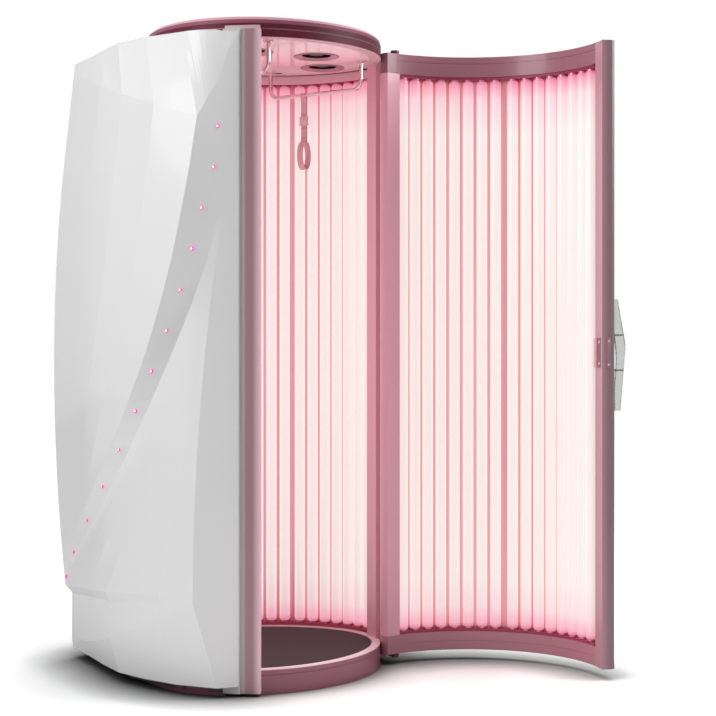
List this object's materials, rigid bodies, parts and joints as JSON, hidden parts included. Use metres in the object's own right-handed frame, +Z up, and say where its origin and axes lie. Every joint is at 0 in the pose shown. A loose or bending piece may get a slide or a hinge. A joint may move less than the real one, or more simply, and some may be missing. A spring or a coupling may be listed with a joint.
{
  "type": "vertical tanning booth",
  "caption": "Upright tanning booth with a curved hinged door, lamps all round, a vibrating floor plate, ceiling fans, handrails and hand straps.",
  "frame": {"origin": "on the floor under the axis of the cabin's lamp circle", "axes": "+X to the hinge side, +Y to the back, +Z up; the doorway faces -Y and the door stands open at rest"},
  "size_m": [1.2881, 1.7794, 2.174],
  "materials": {
    "casing_white": "gloss",
    "rose_metal": "satin",
    "maroon_trim": "gloss",
    "base_steel": "matte",
    "lamp_glass": "gloss",
    "lampholder_plastic": "satin",
    "reflector_aluminium": "polished",
    "ceiling_plastic": "gloss",
    "mat_rubber": "matte",
    "plate_aluminium": "satin",
    "rail_chrome": "polished",
    "strap_webbing": "woven",
    "buckle_metal": "polished",
    "fan_plastic": "matte",
    "light_lens": "gloss",
    "electrics": "matte",
    "ballast_steel": "satin",
    "button_plastic": "satin",
    "hinge_steel": "satin",
    "handle_acrylic": "gloss",
    "latch_metal": "satin"
  },
  "bodies": {
    "cabin": {"base_frame": "base_steel", "levelling_feet": "base_steel", "platform_rim": "rose_metal", "plate_buffers": "mat_rubber", "post_left": "rose_metal", "post_right": "rose_metal", "post_caps": "rose_metal", "casing_left": "casing_white", "casing_right": "casing_white", "lights_left": "light_lens", "lights_right": "light_lens", "rear_panel": "casing_white", "cabin_reflector": "reflector_aluminium", "cabin_lamps": "lamp_glass", "cabin_lampholders_top": "lampholder_plastic", "cabin_lampholders_bottom": "lampholder_plastic", "cabin_header": "rose_metal", "control_column": "rose_metal", "control_bezel": "button_plastic", "roof_canopy": "maroon_trim", "roof_deck": "casing_white", "ceiling_panel": "ceiling_plastic", "fan_frames": "fan_plastic", "handrail_left": "rail_chrome", "handrail_right": "rail_chrome", "handrail_flanges": "rail_chrome", "ballast_rack": "base_steel", "ballasts": "ballast_steel", "control_box": "electrics", "cable_gland": "electrics", "hinge_bracket_top": "hinge_steel", "hinge_bracket_bottom": "hinge_steel", "hinge_pins": "hinge_steel"},
    "door": {"door_header": "rose_metal", "door_sill": "rose_metal", "door_post_hinge": "rose_metal", "door_post_free": "rose_metal", "door_skin": "casing_white", "door_reflector": "reflector_aluminium", "door_lamps": "lamp_glass", "door_lampholders": "lampholder_plastic", "door_handle": "handle_acrylic", "latch_plate": "latch_metal", "latch_screws": "hinge_steel", "handle_standoffs": "rail_chrome"},
    "vibration_platform": {"vibration_plate": "plate_aluminium", "standing_mat": "mat_rubber", "vibration_motor": "base_steel"},
    "fan_1": {"fan_rotor_1": "fan_plastic"},
    "fan_2": {"fan_rotor_2": "fan_plastic"},
    "fan_3": {"fan_rotor_3": "fan_plastic"},
    "strap_left": {"hand_strap_left": "strap_webbing", "strap_buckle_left": "buckle_metal"},
    "strap_right": {"hand_strap_right": "strap_webbing", "strap_buckle_right": "buckle_metal"},
    "start_button": {"button_start": "button_plastic"},
    "stop_button": {"button_stop": "button_plastic"}
  },
  "joints": [
    {"name": "door_hinge", "type": "hinge", "parent": "cabin", "child": "door", "pos_m": [0.36255, -0.26876, 1], "axis": [0, 0, -1], "range_deg": [0, 108.3]},
    {"name": "plate_travel", "type": "slide", "parent": "cabin", "child": "vibration_platform", "axis": [0, 0, 1], "range_m": [0, 0.002]},
    {"name": "fan_1_spin", "type": "hinge", "parent": "cabin", "child": "fan_1", "pos_m": [0.09, -0.133, 2.12], "axis": [0, 0, 1], "continuous": true},
    {"name": "fan_2_spin", "type": "hinge", "parent": "cabin", "child": "fan_2", "pos_m": [-0.12, -0.015, 2.12], "axis": [0, 0, 1], "continuous": true},
    {"name": "fan_3_spin", "type": "hinge", "parent": "cabin", "child": "fan_3", "pos_m": [0.294, 0, 2.12], "axis": [0, 0, 1], "continuous": true},
    {"name": "strap_left_swing", "type": "hinge", "parent": "cabin", "child": "strap_left", "pos_m": [-0.25, 0.05, 2.008], "axis": [0, 1, 0], "range_deg": [-35, 35]},
    {"name": "strap_right_swing", "type": "hinge", "parent": "cabin", "child": "strap_right", "pos_m": [0.25, 0.05, 2.008], "axis": [0, 1, 0], "range_deg": [-35, 35]},
    {"name": "start_button_press", "type": "slide", "parent": "cabin", "child": "start_button", "axis": [0, 1, 0], "range_m": [0, 0.002], "stiffness_N_per_m": 400, "springref_m": -0.001},
    {"name": "stop_button_press", "type": "slide", "parent": "cabin", "child": "stop_button", "axis": [0, 1, 0], "range_m": [0, 0.002], "stiffness_N_per_m": 400, "springref_m": -0.001}
  ]
}
